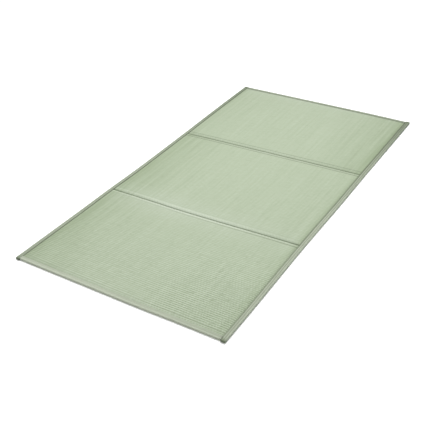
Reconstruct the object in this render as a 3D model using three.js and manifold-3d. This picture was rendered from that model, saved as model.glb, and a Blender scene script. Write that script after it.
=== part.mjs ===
import * as THREE from 'three';
import { mergeVertices } from 'three/addons/utils/BufferGeometryUtils.js';
import Module from 'manifold-3d';

// A rush mat of three panels sewn side by side, laid open, with cloth tape bound round its four edges.
// Millimetres. X runs across the mat, Y along it from the near end to the far one, Z up from the floor.

// Driving sizes
const MAT_WIDTH = 1000;
const MAT_LENGTH = 2000;
const PANEL_HEIGHT = 12;
const BOUND_HEIGHT = 11;
const CLEARANCE = 0.3;

// Cloth tape: its width on each face of the mat, its outer rounding, and how far its ends pass the mat
const TAPE_WIDTH = 20;
const TAPE_THICKNESS = 1;
const TAPE_ROUND = 3;
const TAPE_ROUND_STEPS = 3;
const TAPE_OVERRUN = 3;

// The sunk line that the sewing pulls beside the tape, and the slope from there up to the rush face
const GROOVE_OFFSET = 1.5;
const GROOVE_DEPTH = 0.7;
const SHOULDER_WIDTH = 15;

// The most room that a panel's shaped edge takes, skewed folds included
const EDGE_MARGIN = 60;

// Cross ribs of the rush weave
const RIB_PITCH = 10.9;
const RIB_RELIEF = 0.8;

// The dip of the long tapes where they pass over a fold
const CREASE_DEPTH = 1;
const CREASE_REACH = 6;

const RUSH_COLOUR = 0xbfcbb2;
const TAPE_COLOUR = 0xa7b09d;
const RUSH_ROUGHNESS = 0.8;
const TAPE_ROUGHNESS = 0.95;

// How far each long side stands out from the true rectangle, by share of the length from the near end
const LONG_SIDES = [
  { along: 0.0, left: 2.5, right: 3.5 },
  { along: 0.1, left: 0.5, right: 3.5 },
  { along: 0.2, left: -1.5, right: 2.0 },
  { along: 0.32, left: -2.0, right: 0.0 },
  { along: 0.4, left: -5.0, right: 1.0 },
  { along: 0.52, left: -4.5, right: 3.0 },
  { along: 0.66, left: -2.0, right: 2.5 },
  { along: 0.8, left: 2.5, right: 3.5 },
  { along: 1.0, left: 5.0, right: 5.0 },
];

// The short ends and the two folds as Y, by share of the width from the left
const CROSS_LINES = [
  { across: 0.0, nearEnd: -999.0, nearFold: -357.0, farFold: 306.0, farEnd: 1000.0 },
  { across: 0.2, nearEnd: -1000.5, nearFold: -355.0, farFold: 314.5, farEnd: 1001.0 },
  { across: 0.4, nearEnd: -1001.0, nearFold: -355.5, farFold: 321.5, farEnd: 1002.0 },
  { across: 0.6, nearEnd: -1002.0, nearFold: -350.0, farFold: 328.0, farEnd: 1002.0 },
  { across: 0.8, nearEnd: -999.5, nearFold: -341.5, farFold: 335.0, farEnd: 1001.5 },
  { across: 1.0, nearEnd: -999.0, nearFold: -335.0, farFold: 340.0, farEnd: 997.0 },
];

// A panel's height inside a bound edge, by distance from the outer face of the tape
const insideTape = TAPE_THICKNESS + CLEARANCE;
const boundTop = BOUND_HEIGHT - insideTape;
const edgeChamfer = TAPE_ROUND - insideTape;
const grooveInset = TAPE_WIDTH + GROOVE_OFFSET;
const BOUND_EDGE = [
  { inset: insideTape, top: boundTop - edgeChamfer, bottom: insideTape + edgeChamfer, ribs: 0 },
  { inset: insideTape + edgeChamfer, top: boundTop, bottom: insideTape, ribs: 0 },
  { inset: grooveInset, top: boundTop - GROOVE_DEPTH, bottom: insideTape, ribs: 0 },
  { inset: grooveInset + SHOULDER_WIDTH, top: PANEL_HEIGHT, bottom: 0, ribs: 1 },
];

// A panel's height beside a fold, by distance from the fold: rounded hem, sewn line, open face
const FOLD_EDGE = [
  { inset: CLEARANCE / 2, top: 4.0, bottom: 2.0 },
  { inset: 1.5, top: 7.0, bottom: 0.6 },
  { inset: 4.0, top: 9.3, bottom: 0.0 },
  { inset: 8.0, top: 11.2, bottom: 0.0 },
  { inset: 13.0, top: 12.0, bottom: 0.0 },
  { inset: 20.0, top: 11.6, bottom: 0.0 },
  { inset: 22.5, top: 10.8, bottom: 0.0 },
  { inset: 25.0, top: 11.6, bottom: 0.0 },
  { inset: 30.0, top: 12.0, bottom: 0.0 },
];

const PANELS = [
  { name: 'panel_near', from: 'nearEnd', fromEdge: BOUND_EDGE, to: 'nearFold', toEdge: FOLD_EDGE },
  { name: 'panel_middle', from: 'nearFold', fromEdge: FOLD_EDGE, to: 'farFold', toEdge: FOLD_EDGE },
  { name: 'panel_far', from: 'farFold', fromEdge: FOLD_EDGE, to: 'farEnd', toEdge: BOUND_EDGE },
];

// Value of a table's column at a place between its rows
function readTable(table, key, column, at) {
  const next = table.findIndex((row) => row[key] >= at);
  if (next === 0) return table[0][column];
  if (next < 0) return table.at(-1)[column];
  const low = table[next - 1];
  const high = table[next];
  const share = (at - low[key]) / (high[key] - low[key]);
  return THREE.MathUtils.lerp(low[column], high[column], share);
}

const acrossShare = (x) => x / MAT_WIDTH + 0.5;
const alongShare = (y) => y / MAT_LENGTH + 0.5;
const acrossX = (share) => (share - 0.5) * MAT_WIDTH;
const alongY = (share) => (share - 0.5) * MAT_LENGTH;
const crossLine = (line, x) => readTable(CROSS_LINES, 'across', line, acrossShare(x));
const sideOut = (side, y) => readTable(LONG_SIDES, 'along', side, alongShare(y));

// X of a point of the true rectangle once the long sides are as uneven as the tables say
function unevenX(x, y) {
  return x + THREE.MathUtils.lerp(-sideOut('left', y), sideOut('right', y), acrossShare(x));
}

// Lengthwise lines across the width that the panels are drawn on
function panelStations() {
  const side = MAT_WIDTH / 2;
  const open = { top: PANEL_HEIGHT, bottom: 0, ribs: 1 };
  const left = BOUND_EDGE.map((row) => ({ ...row, x: row.inset - side }));
  const middle = CROSS_LINES.slice(1, -1).map((row) => ({ ...open, x: acrossX(row.across) }));
  const right = BOUND_EDGE.map((row) => ({ ...row, x: side - row.inset })).reverse();
  return [...left, ...middle, ...right];
}

// Y of the bends in the long sides that lie well inside a panel, clear of its edges
function sideBends(panel) {
  const start = crossLine(panel.from, 0) + EDGE_MARGIN;
  const end = crossLine(panel.to, 0) - EDGE_MARGIN;
  const bends = LONG_SIDES.map((row) => alongY(row.along));
  return bends.filter((y) => y > start && y < end);
}

// One lengthwise section of a panel: upper runs over the face and lower along the underside
function panelSection(panel, station, ribCount) {
  const start = crossLine(panel.from, station.x);
  const end = crossLine(panel.to, station.x);
  const fromRows = panel.fromEdge.map((row) => ({ ...row, y: start + row.inset }));
  const toRows = panel.toEdge.map((row) => ({ ...row, y: end - row.inset })).reverse();
  const ribsStart = fromRows.at(-1).y;
  const ribsEnd = toRows[0].y;
  const bends = sideBends(panel).map((y) => ({ y, bottom: 0 }));
  const point = (y, z) => new THREE.Vector3(unevenX(station.x, y), y, z);
  const edgeTop = (row) => point(row.y, Math.min(row.top, station.top));
  const edgeBottom = (row) => point(row.y, Math.max(row.bottom, station.bottom));
  const ribs = [];
  for (let half = 1; half < 2 * ribCount; half += 1) {
    const valley = half % 2 === 0;
    const drop = valley ? RIB_RELIEF * station.ribs : 0;
    const y = THREE.MathUtils.lerp(ribsStart, ribsEnd, half / (2 * ribCount));
    ribs.push(point(y, station.top - drop));
  }
  return {
    upper: [...fromRows.map(edgeTop), ...ribs, ...toRows.map(edgeTop)],
    lower: [...fromRows, ...bends, ...toRows].map(edgeBottom),
  };
}

// Closed geometry from points and triangles, wound so that its faces point out
function closedGeometry(points, triangles) {
  const volume = triangles.reduce((sum, [a, b, c]) => {
    const normal = new THREE.Vector3().crossVectors(points[b], points[c]);
    return sum + points[a].dot(normal);
  }, 0);
  const outward = volume > 0 ? triangles : triangles.map(([a, b, c]) => [a, c, b]);
  const geometry = new THREE.BufferGeometry().setFromPoints(points);
  geometry.setIndex(outward.flat());
  geometry.computeVertexNormals();
  return geometry;
}

// Triangles between two rows of points that run the same way along Y
function zipRows(upper, lower, points) {
  const triangles = [];
  let top = 0;
  let low = 0;
  while (top < upper.length - 1 || low < lower.length - 1) {
    const topNext = top < upper.length - 1 ? points[upper[top + 1]].y : Infinity;
    const lowNext = low < lower.length - 1 ? points[lower[low + 1]].y : Infinity;
    if (topNext <= lowNext) {
      triangles.push([upper[top], upper[top + 1], lower[low]]);
      top += 1;
    } else {
      triangles.push([upper[top], lower[low + 1], lower[low]]);
      low += 1;
    }
  }
  return triangles;
}

// Triangles of the wall between two rings of points with the same count
function bridgeRings(ringA, ringB) {
  return ringA.flatMap((a, i) => {
    const next = (i + 1) % ringA.length;
    return [
      [a, ringA[next], ringB[next]],
      [a, ringB[next], ringB[i]],
    ];
  });
}

const turned = (triangles) => triangles.map(([a, b, c]) => [a, c, b]);

// A panel, drawn through its lengthwise sections from the left edge to the right one
function panelGeometry(panel) {
  const ribsStart = crossLine(panel.from, 0) + panel.fromEdge.at(-1).inset;
  const ribsEnd = crossLine(panel.to, 0) - panel.toEdge.at(-1).inset;
  const ribCount = Math.round((ribsEnd - ribsStart) / RIB_PITCH);
  const points = [];
  const sections = panelStations().map((station) => {
    const section = panelSection(panel, station, ribCount);
    const place = (point) => points.push(point) - 1;
    return { upper: section.upper.map(place), lower: section.lower.map(place) };
  });
  const ring = (section) => [...section.upper, ...section.lower.toReversed()];
  const walls = sections.slice(1).flatMap((section, i) => bridgeRings(ring(sections[i]), ring(section)));
  const first = sections[0];
  const last = sections.at(-1);
  const leftCap = turned(zipRows(first.upper, first.lower, points));
  const rightCap = zipRows(last.upper, last.lower, points);
  return closedGeometry(points, [...walls, ...leftCap, ...rightCap]);
}

// Rounded outline of the tape's section as distance in from the edge and height, shrunk by an offset
function tapeOutline(offset, reach, height) {
  const radius = TAPE_ROUND - offset;
  const arc = (centreZ, fromAngle) => {
    const steps = Array.from({ length: TAPE_ROUND_STEPS + 1 }, (_, i) => i / TAPE_ROUND_STEPS);
    return steps.map((share) => {
      const angle = fromAngle - (share * Math.PI) / 2;
      return { inset: TAPE_ROUND + radius * Math.cos(angle), z: centreZ + radius * Math.sin(angle) };
    });
  };
  return [
    { inset: reach, z: offset },
    ...arc(TAPE_ROUND, -Math.PI / 2),
    ...arc(height - TAPE_ROUND, Math.PI),
    { inset: reach, z: height - offset },
  ];
}

// A bar drawn through tape outlines at stations along an edge; both ends are closed flat
function tapeBar(stations, offset, reach) {
  const points = [];
  const rings = stations.map((station) => {
    const outline = tapeOutline(offset, reach, station.height);
    return outline.map(({ inset, z }) => points.push(station.place(inset, z)) - 1);
  });
  const walls = rings.slice(1).flatMap((ring, i) => bridgeRings(rings[i], ring));
  const fan = (ring) => ring.slice(2).map((c, i) => [ring[0], ring[i + 1], c]);
  const ends = [...turned(fan(rings[0])), ...fan(rings.at(-1))];
  return closedGeometry(points, [...walls, ...ends]);
}

const wasm = await Module();
wasm.setup();

function toSolid(geometry) {
  const bare = geometry.clone();
  bare.deleteAttribute('normal');
  const merged = mergeVertices(bare);
  const vertProperties = new Float32Array(merged.attributes.position.array);
  const triVerts = new Uint32Array(merged.index.array);
  return new wasm.Manifold(new wasm.Mesh({ numProp: 3, vertProperties, triVerts }));
}

// The first geometry with the second cut out of it
function cutOut(geometry, cutter) {
  const mesh = toSolid(geometry).subtract(toSolid(cutter)).getMesh();
  const result = new THREE.BufferGeometry();
  result.setAttribute('position', new THREE.BufferAttribute(mesh.vertProperties, mesh.numProp));
  result.setIndex(new THREE.BufferAttribute(mesh.triVerts, 1));
  result.computeVertexNormals();
  return result;
}

// The same stations with both ends drawn back along the tape, which leaves a turned-in end standing
function drawBackEnds(stations, amount, atPlace) {
  const start = atPlace(stations[0].at + amount);
  const end = atPlace(stations.at(-1).at - amount);
  return [start, ...stations.slice(1, -1), end];
}

// A tape folded round a long side, dipping where it passes over the folds
function longTape(side) {
  const direction = side === 'left' ? 1 : -1;
  const edgeX = (y) => direction * (-MAT_WIDTH / 2 - sideOut(side, y));
  const folds = ['nearFold', 'farFold'].map((line) => crossLine(line, (-direction * MAT_WIDTH) / 2));
  const dip = (y) => {
    const nearest = Math.min(...folds.map((fold) => Math.abs(y - fold)));
    return CREASE_DEPTH * Math.max(0, 1 - nearest / CREASE_REACH);
  };
  const station = (y) => ({
    at: y,
    height: BOUND_HEIGHT - dip(y),
    place: (inset, z) => new THREE.Vector3(edgeX(y) + direction * inset, y, z),
  });
  const end = MAT_LENGTH / 2 + TAPE_OVERRUN;
  const rows = LONG_SIDES.map((row) => alongY(row.along));
  const creases = folds.flatMap((fold) => [fold - CREASE_REACH, fold, fold + CREASE_REACH]);
  const places = [-end, ...rows, ...creases, end].sort((a, b) => a - b);
  const stations = places.map(station);
  const outside = tapeBar(stations, 0, TAPE_WIDTH);
  const inside = drawBackEnds(stations, TAPE_THICKNESS, station);
  return cutOut(outside, tapeBar(inside, TAPE_THICKNESS, TAPE_WIDTH + TAPE_ROUND));
}

// A tape folded round a short end, between the two long tapes
function shortTape(line, direction) {
  const endY = (direction * -MAT_LENGTH) / 2;
  const station = (x) => ({
    at: x,
    height: BOUND_HEIGHT,
    place: (inset, z) => new THREE.Vector3(x, crossLine(line, x) + direction * inset, z),
  });
  const room = MAT_WIDTH / 2 - TAPE_WIDTH - CLEARANCE;
  const rows = CROSS_LINES.slice(1, -1).map((row) => acrossX(row.across));
  const places = [-room - sideOut('left', endY), ...rows, room + sideOut('right', endY)];
  const stations = places.map(station);
  const outside = tapeBar(stations, 0, TAPE_WIDTH);
  const through = drawBackEnds(stations, -TAPE_ROUND, station);
  return cutOut(outside, tapeBar(through, TAPE_THICKNESS, TAPE_WIDTH + TAPE_ROUND));
}

function addPiece(group, name, geometry, color, roughness) {
  const mesh = new THREE.Mesh(geometry, new THREE.MeshStandardMaterial({ color, roughness, metalness: 0 }));
  mesh.name = name;
  group.add(mesh);
}

const mat = new THREE.Group();
for (const panel of PANELS) {
  addPiece(mat, panel.name, panelGeometry(panel), RUSH_COLOUR, RUSH_ROUGHNESS);
}
for (const side of ['left', 'right']) {
  addPiece(mat, `binding_${side}`, longTape(side), TAPE_COLOUR, TAPE_ROUGHNESS);
}
addPiece(mat, 'binding_near', shortTape('nearEnd', 1), TAPE_COLOUR, TAPE_ROUGHNESS);
addPiece(mat, 'binding_far', shortTape('farEnd', -1), TAPE_COLOUR, TAPE_ROUGHNESS);

export default mat;
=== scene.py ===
"""Looks of a three-panel rush mat: woven panels, cloth tape, sewing, floor, light and camera."""
import math

import bmesh
import bpy
import numpy as np
from mathutils import Matrix, Vector


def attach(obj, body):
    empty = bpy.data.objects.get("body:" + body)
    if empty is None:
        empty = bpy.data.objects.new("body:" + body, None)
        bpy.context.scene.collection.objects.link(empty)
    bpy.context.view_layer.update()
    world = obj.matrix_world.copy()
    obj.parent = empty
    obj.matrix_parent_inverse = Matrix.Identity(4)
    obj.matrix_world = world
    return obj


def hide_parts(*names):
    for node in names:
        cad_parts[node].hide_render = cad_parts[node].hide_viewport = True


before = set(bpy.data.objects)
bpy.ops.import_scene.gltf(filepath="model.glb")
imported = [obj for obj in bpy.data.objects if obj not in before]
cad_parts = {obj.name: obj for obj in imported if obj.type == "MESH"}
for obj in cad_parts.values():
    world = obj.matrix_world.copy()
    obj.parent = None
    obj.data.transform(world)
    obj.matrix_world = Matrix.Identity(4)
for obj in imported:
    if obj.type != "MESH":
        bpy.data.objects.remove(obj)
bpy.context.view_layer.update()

MM = 0.001

# Driving sizes of the mat, in metres
MAT_WIDTH = 1.0
MAT_LENGTH = 2.0
PANEL_HEIGHT = 12 * MM
BOUND_HEIGHT = 11 * MM

# Cloth tape folded round the edges
TAPE_WIDTH = 20 * MM
TAPE_THICKNESS = 1 * MM
TAPE_ROUND = 3.2 * MM
TAPE_ROUND_STEPS = 6
TAPE_OVERRUN = 3 * MM
TAPE_STEP = 8 * MM
TAPE_GAP = 0.3 * MM
TAPE_END_LENGTH = 4 * MM
TAPE_END_STEPS = 6
TAPE_END_WIDTH = 0.8
TAPE_END_HEIGHT = 0.45
CREASE_DEPTH = 1 * MM
CREASE_REACH = 6 * MM
CREASE_STEPS = 7
CREASE_CLEARANCE = 1 * MM
WELD_DISTANCE = 0.005 * MM

# Rush weave: ribs run across the mat, and over them bundles of stalks float up, a step aside on each rib
RIB_PITCH = 10.9 * MM
FLOAT_PITCH = 12.4 * MM
POINTS_PER_RIB = 4
POINTS_PER_FLOAT = 4
WEAVE_RELIEF = 1.3 * MM
RIB_ROUNDNESS = 0.6
FLOAT_SHARE = 0.36
UNEVEN_FLOATS = 0.11
UNEVEN_BUNDLES = 0.05
UNEVEN_RIBS = 0.03
FLOAT_STEP = 0.59
STALK_PITCH = FLOAT_PITCH / 6
HEM_HATCH = 0.35 * MM
HEM_HATCH_PITCH = 15 * MM
HEM_HATCH_SLANT = 0.8
# Share of the painted gap shade on the hems' hatch lines
HEM_HATCH_TONE = 0.2
UNDERSIDE_STRIDE = 16

# Sewing
STITCH_LENGTH = 3.2 * MM
STITCH_PITCH = 4.4 * MM
THREAD_RADIUS = 0.35 * MM
STITCH_SIDES = 6
TAPE_STITCH_INSET = 16.4 * MM
FOLD_STITCH_INSET = 22.5 * MM
FOLD_STITCH_LENGTH = 4.6 * MM
FOLD_STITCH_PITCH = 6.2 * MM
FOLD_STITCH_END_GAP = 6 * MM
TAPE_THREAD_RISE = 0.6 * THREAD_RADIUS
FOLD_THREAD_RISE = 0.4 * THREAD_RADIUS

# One stitch, by share of its length from its middle: its height and girth, in thread radii
STITCH_SHAPE = [
    {"reach": -0.5, "height": -1.6, "girth": 0.5},
    {"reach": -0.42, "height": -0.6, "girth": 0.9},
    {"reach": -0.2, "height": 0.0, "girth": 1.0},
    {"reach": 0.2, "height": 0.0, "girth": 1.0},
    {"reach": 0.42, "height": -0.6, "girth": 0.9},
    {"reach": 0.5, "height": -1.6, "girth": 0.5},
]

# How far each long side stands out from the true rectangle, by share of the length from the near end
LONG_SIDES = [
    {"along": 0.0, "left": 2.5 * MM, "right": 3.5 * MM},
    {"along": 0.1, "left": 0.5 * MM, "right": 3.5 * MM},
    {"along": 0.2, "left": -1.5 * MM, "right": 2.0 * MM},
    {"along": 0.32, "left": -2.0 * MM, "right": 0.0 * MM},
    {"along": 0.4, "left": -5.0 * MM, "right": 1.0 * MM},
    {"along": 0.52, "left": -4.5 * MM, "right": 3.0 * MM},
    {"along": 0.66, "left": -2.0 * MM, "right": 2.5 * MM},
    {"along": 0.8, "left": 2.5 * MM, "right": 3.5 * MM},
    {"along": 1.0, "left": 5.0 * MM, "right": 5.0 * MM},
]

# The short ends and the two folds as Y, by share of the width from the left
CROSS_LINES = [
    {"across": 0.0, "near_end": -0.9990, "near_fold": -0.3570, "far_fold": 0.3060, "far_end": 1.0000},
    {"across": 0.2, "near_end": -1.0005, "near_fold": -0.3550, "far_fold": 0.3145, "far_end": 1.0010},
    {"across": 0.4, "near_end": -1.0010, "near_fold": -0.3555, "far_fold": 0.3215, "far_end": 1.0020},
    {"across": 0.6, "near_end": -1.0020, "near_fold": -0.3500, "far_fold": 0.3280, "far_end": 1.0020},
    {"across": 0.8, "near_end": -0.9995, "near_fold": -0.3415, "far_fold": 0.3350, "far_end": 1.0015},
    {"across": 1.0, "near_end": -0.9990, "near_fold": -0.3350, "far_fold": 0.3400, "far_end": 0.9970},
]

# Panel height inside a bound edge, by distance from the outer face of the tape
BOUND_EDGE = [
    {"inset": 1.3 * MM, "top": 7.0 * MM, "bottom": 4.0 * MM, "weave": 0.0},
    {"inset": 2.6 * MM, "top": 8.8 * MM, "bottom": 2.2 * MM, "weave": 0.0},
    {"inset": 4.6 * MM, "top": 9.7 * MM, "bottom": 1.3 * MM, "weave": 0.0},
    {"inset": 18.0 * MM, "top": 9.3 * MM, "bottom": 1.3 * MM, "weave": 0.0},
    {"inset": 20.2 * MM, "top": 8.6 * MM, "bottom": 1.3 * MM, "weave": 0.0},
    {"inset": 21.5 * MM, "top": 8.6 * MM, "bottom": 1.3 * MM, "weave": 0.3},
    {"inset": 23.0 * MM, "top": 9.7 * MM, "bottom": 1.2 * MM, "weave": 0.7},
    {"inset": 26.0 * MM, "top": 10.8 * MM, "bottom": 0.9 * MM, "weave": 1.0},
    {"inset": 30.0 * MM, "top": 11.6 * MM, "bottom": 0.5 * MM, "weave": 1.0},
    {"inset": 36.5 * MM, "top": 12.0 * MM, "bottom": 0.0 * MM, "weave": 1.0},
]

# Panel height inside the near tape, where the weave stands fuller against the tape
NEAR_EDGE = [
    {"inset": 1.3 * MM, "top": 7.0 * MM, "bottom": 4.0 * MM, "weave": 0.0},
    {"inset": 2.6 * MM, "top": 8.8 * MM, "bottom": 2.2 * MM, "weave": 0.0},
    {"inset": 4.6 * MM, "top": 9.7 * MM, "bottom": 1.3 * MM, "weave": 0.0},
    {"inset": 18.0 * MM, "top": 9.5 * MM, "bottom": 1.3 * MM, "weave": 0.0},
    {"inset": 20.2 * MM, "top": 9.5 * MM, "bottom": 1.3 * MM, "weave": 0.0},
    {"inset": 21.5 * MM, "top": 10.7 * MM, "bottom": 1.3 * MM, "weave": 0.3},
    {"inset": 23.0 * MM, "top": 11.1 * MM, "bottom": 1.2 * MM, "weave": 0.7},
    {"inset": 26.0 * MM, "top": 11.5 * MM, "bottom": 0.9 * MM, "weave": 1.0},
    {"inset": 30.0 * MM, "top": 11.8 * MM, "bottom": 0.5 * MM, "weave": 1.0},
    {"inset": 36.5 * MM, "top": 12.0 * MM, "bottom": 0.0 * MM, "weave": 1.0},
]

# Panel height beside a fold, by distance from the fold: rounded hem, sewn line, open face
FOLD_EDGE = [
    {"inset": 0.15 * MM, "top": 4.0 * MM, "bottom": 2.0 * MM, "weave": 0.0},
    {"inset": 0.7 * MM, "top": 5.7 * MM, "bottom": 1.3 * MM, "weave": 0.0},
    {"inset": 1.5 * MM, "top": 7.0 * MM, "bottom": 0.6 * MM, "weave": 0.0},
    {"inset": 4.0 * MM, "top": 9.4 * MM, "bottom": 0.0 * MM, "weave": 0.0},
    {"inset": 8.0 * MM, "top": 11.2 * MM, "bottom": 0.0 * MM, "weave": 0.0},
    {"inset": 13.0 * MM, "top": 12.0 * MM, "bottom": 0.0 * MM, "weave": 0.0},
    {"inset": 18.5 * MM, "top": 11.9 * MM, "bottom": 0.0 * MM, "weave": 0.0},
    {"inset": 21.0 * MM, "top": 11.3 * MM, "bottom": 0.0 * MM, "weave": 0.0},
    {"inset": 22.5 * MM, "top": 10.8 * MM, "bottom": 0.0 * MM, "weave": 0.0},
    {"inset": 24.0 * MM, "top": 11.3 * MM, "bottom": 0.0 * MM, "weave": 0.4},
    {"inset": 26.5 * MM, "top": 11.9 * MM, "bottom": 0.0 * MM, "weave": 0.8},
    {"inset": 30.0 * MM, "top": 12.0 * MM, "bottom": 0.0 * MM, "weave": 1.0},
]

# Lengthwise lines of the tape's faces, by distance from its outer face
TAPE_LINES = [
    {"inset": 4.6 * MM, "sunk": 0.0 * MM},
    {"inset": 6.8 * MM, "sunk": 0.0 * MM},
    {"inset": 8.2 * MM, "sunk": 0.22 * MM},
    {"inset": 9.8 * MM, "sunk": 0.28 * MM},
    {"inset": 11.4 * MM, "sunk": 0.22 * MM},
    {"inset": 12.8 * MM, "sunk": 0.0 * MM},
    {"inset": 15.2 * MM, "sunk": 0.0 * MM},
    {"inset": 16.4 * MM, "sunk": 0.35 * MM},
    {"inset": 17.4 * MM, "sunk": 0.2 * MM},
    {"inset": 18.6 * MM, "sunk": 0.35 * MM},
    {"inset": 19.5 * MM, "sunk": 0.5 * MM},
    {"inset": 20.0 * MM, "sunk": 0.6 * MM},
]

PANELS = [
    {"name": "rush_near", "node": "panel_near", "from": "near_end", "to": "near_fold", "seed": 11},
    {"name": "rush_middle", "node": "panel_middle", "from": "near_fold", "to": "far_fold", "seed": 12},
    {"name": "rush_far", "node": "panel_far", "from": "far_fold", "to": "far_end", "seed": 13},
]

# How full the weave stands: everywhere, more at the near end, and most at its right
FULLNESS = {"plain": 0.38, "near": 0.34, "near_right": 1.5}

# Where the fullness starts and where it is whole, as Y towards the near end and X towards the right
FULLNESS_FROM = {"near": -0.4, "right": -0.05}
FULLNESS_TO = {"near": -0.95, "right": 0.4}

# Mean paleness of the weave against its painted gap shade, and how much paler it gets where it stands fuller
MEAN_RISE = 0.75
FULL_LIFT = 0.22

# Painted shade: how much darker each panel's rush is towards its two sides, from 0 to 1
SIDE_SHADES = {
    "rush_near": {"left": 0.82, "right": 0.2},
    "rush_middle": {"left": 0.95, "right": 0.18},
    "rush_far": {"left": 0.28, "right": 0.82},
}
SIDE_SHADE_REACH = 0.4
RIM_SHADE = 0.42
RIM_REACH = 66 * MM

# Painted highlight on the hem beside an edge, as paleness from 0 to 1, at the left, in the middle and at the
# right
HEM_HIGHLIGHTS = {
    "left": (0.0, 0.0, 0.0),
    "right": (0.0, 0.0, 0.0),
    "near_end": (0.2, 0.4, 0.2),
    "far_end": (0.95, 0.95, 0.4),
    "near_fold": (1.0, 1.0, 0.4),
    "far_fold": (0.1, 0.3, 0.1),
}

# Slighter painted light that reaches further over the open face, in the same order
GLOWS = {"near_fold": (1.0, 0.48, 0.25), "far_end": (0.55, 0.32, 0.0)}
GLOW = {"fading": 20 * MM, "gone": 150 * MM}

# How far in from an edge its hem runs
FOLD_HEM = {"from": 0.5 * MM, "full": 3.5 * MM, "fading": 14 * MM, "gone": 26 * MM}
BOUND_HEM = {"from": 21 * MM, "full": 26 * MM, "fading": 32 * MM, "gone": 46 * MM}

# How pale the unwoven margin inside each edge is, from 0, as dark as the painted shade in the gaps of the
# weave, to 1 as on its floats
MARGIN_TONES = {
    "left": (0.66, 0.66, 0.66),
    "right": (0.66, 0.66, 0.66),
    "near_end": (0.85, 0.9, 0.85),
    "far_end": (0.9, 0.95, 0.9),
    "near_fold": (1.0, 1.0, 0.8),
    "far_fold": (0.72, 0.78, 0.72),
}

# Painted shade in dark lines: the bottom of a fold, the sewn line beside it, and the groove inside the tape
FOLD_LINE = {"full": 0.7 * MM, "gone": 3.6 * MM}
SEWN_LINE = {"middle": 22.5 * MM, "reach": 4.0 * MM}
GROOVE_LINE = {"full": 21.0 * MM, "gone": 25.0 * MM}
FOLD_DEPTHS = {"near_fold": (0.55, 0.6, 0.8), "far_fold": (0.95, 0.9, 0.9)}
SEWN_DEPTHS = {
    ("rush_near", "near_fold"): (0.25, 0.5, 0.8),
    ("rush_middle", "near_fold"): (0.1, 0.1, 0.1),
    ("rush_middle", "far_fold"): (0.8, 0.8, 0.8),
    ("rush_far", "far_fold"): (0.7, 0.7, 0.7),
}
GROOVE_DEPTHS = {
    "rush_near": {"left": 0.45, "right": 0.35, "near_end": 0.0},
    "rush_middle": {"left": 0.8, "right": 0.7},
    "rush_far": {"left": 0.8, "right": 0.95, "far_end": 0.3},
}

# Painted light and shade on each tape, as a tone from 0, dark, to 1, pale, at its near or left end and at
# its far or right one
TAPE_LIGHTING = {
    "left": (0.52, 0.12),
    "right": (0.72, 0.12),
    "near": (0.83, 0.66),
    "far": (0.42, 0.36),
}
# Span over which the long tapes grow darker towards their sewn-up ends
TAPE_END_DARKENING = {"from": -6.6 * MM, "gone": 22 * MM}

# How dark the painted shade in each tape's sunk lines is, from 0 to 1, and how much paler the painted light
# makes its outer turn
TAPE_LINE_DEPTHS = {"left": (0.5, 0.6), "right": (0.95, 1.5), "near": (0.2, 0.2), "far": (0.35, 0.35)}
TAPE_TURN_LIGHTING = {"left": 0.0, "right": -0.1, "near": 0.55, "far": 0.0}
TAPE_TURN_REACH = 10 * MM

# Colours
RUSH_COLOURS = {
    "dark_stalk": (0.331, 0.389, 0.279, 1),
    "pale_stalk": (0.398, 0.456, 0.345, 1),
    "pale_bundle": (0.435, 0.495, 0.379, 1),
    "dull_stretch": (0.360, 0.420, 0.305, 1),
    # painted highlight on the hems and painted light beside some edges
    "hem": (0.460, 0.510, 0.415, 1),
    # painted shade towards the long sides
    "shade": (0.270, 0.330, 0.215, 1),
    # painted shade in the weave's gaps
    "gap_shade": (0.182, 0.226, 0.135, 1),
    # painted shade in the fold bottoms, sewn lines and tape grooves
    "seam_shade": (0.110, 0.135, 0.080, 1),
}
TAPE_COLOURS = {
    "dark": (0.128, 0.162, 0.100, 1),
    "pale": (0.426, 0.467, 0.367, 1),
    # painted shade in the sunk lines
    "sunk_line_shade": (0.070, 0.085, 0.050, 1),
}
THREAD_COLOURS = {"dark": (0.290, 0.320, 0.250, 1), "pale": (0.380, 0.410, 0.340, 1)}
FLOOR_COLOURS = {"dark": (0.93, 0.93, 0.93, 1), "pale": (0.96, 0.96, 0.96, 1)}

# Width and length of the streaks in each finish
RUSH_STREAKS = {
    "stalk": (3 * MM, 180 * MM),
    "bundle": (14 * MM, 420 * MM),
    "broad": (90 * MM, 700 * MM),
}
TAPE_STREAKS = {"yarn": (1.2 * MM, 60 * MM), "wear": (9 * MM, 300 * MM)}
THREAD_STREAKS = (0.4 * MM, 2 * MM)
STREAK_SPREAD = (0.3, 0.7)

# Fine ribs of the cloth and the thread, and the height and strength of each finish's relief
WEFT_PITCH = 1.1 * MM
WARP_PITCH = 0.9 * MM
TWIST_PITCH = 0.45 * MM
RELIEF = {"stalk": (0.35 * MM, 0.6), "cloth": (0.25 * MM, 0.6), "thread": (0.1 * MM, 0.5)}

# Camera
CAMERA_AZIMUTH = 33.64
CAMERA_ELEVATION = 33.19
CAMERA_ROLL = -2.11
CAMERA_DISTANCE = 3.35669
CAMERA_TARGET = Vector((-0.07005, -0.37434, 0.0))
CAMERA_LENS = 62.55
CAMERA_SENSOR = 36.0
CAMERA_SHIFT_X = 0.0723
CAMERA_SHIFT_Y = 0.0020

# Light
SURROUND_LIGHT = 0.424
OVERHEAD_SIZE = 3.0
OVERHEAD_POWER = 98.5
OVERHEAD_PLACE = Vector((-0.1, 0.3, 3.0))
OVERHEAD_AIM = Vector((0.0, 0.2, 0.0))
FAR_LIGHT_STRENGTH = 1.13
FAR_LIGHT_DIRECTION = Vector((-0.45, 0.7, 0.65))
FAR_LIGHT_SPREAD = 50

# Floor, which fades to white far from the mat
FLOOR_HALF = 20.0
FLOOR_DROP = 0.3 * MM
FLOOR_LIFT = 0.15
FLOOR_FADE_FROM = 3.0
FLOOR_FADE_TO = 9.0


def column(table, key):
    return np.array([row[key] for row in table])


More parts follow.
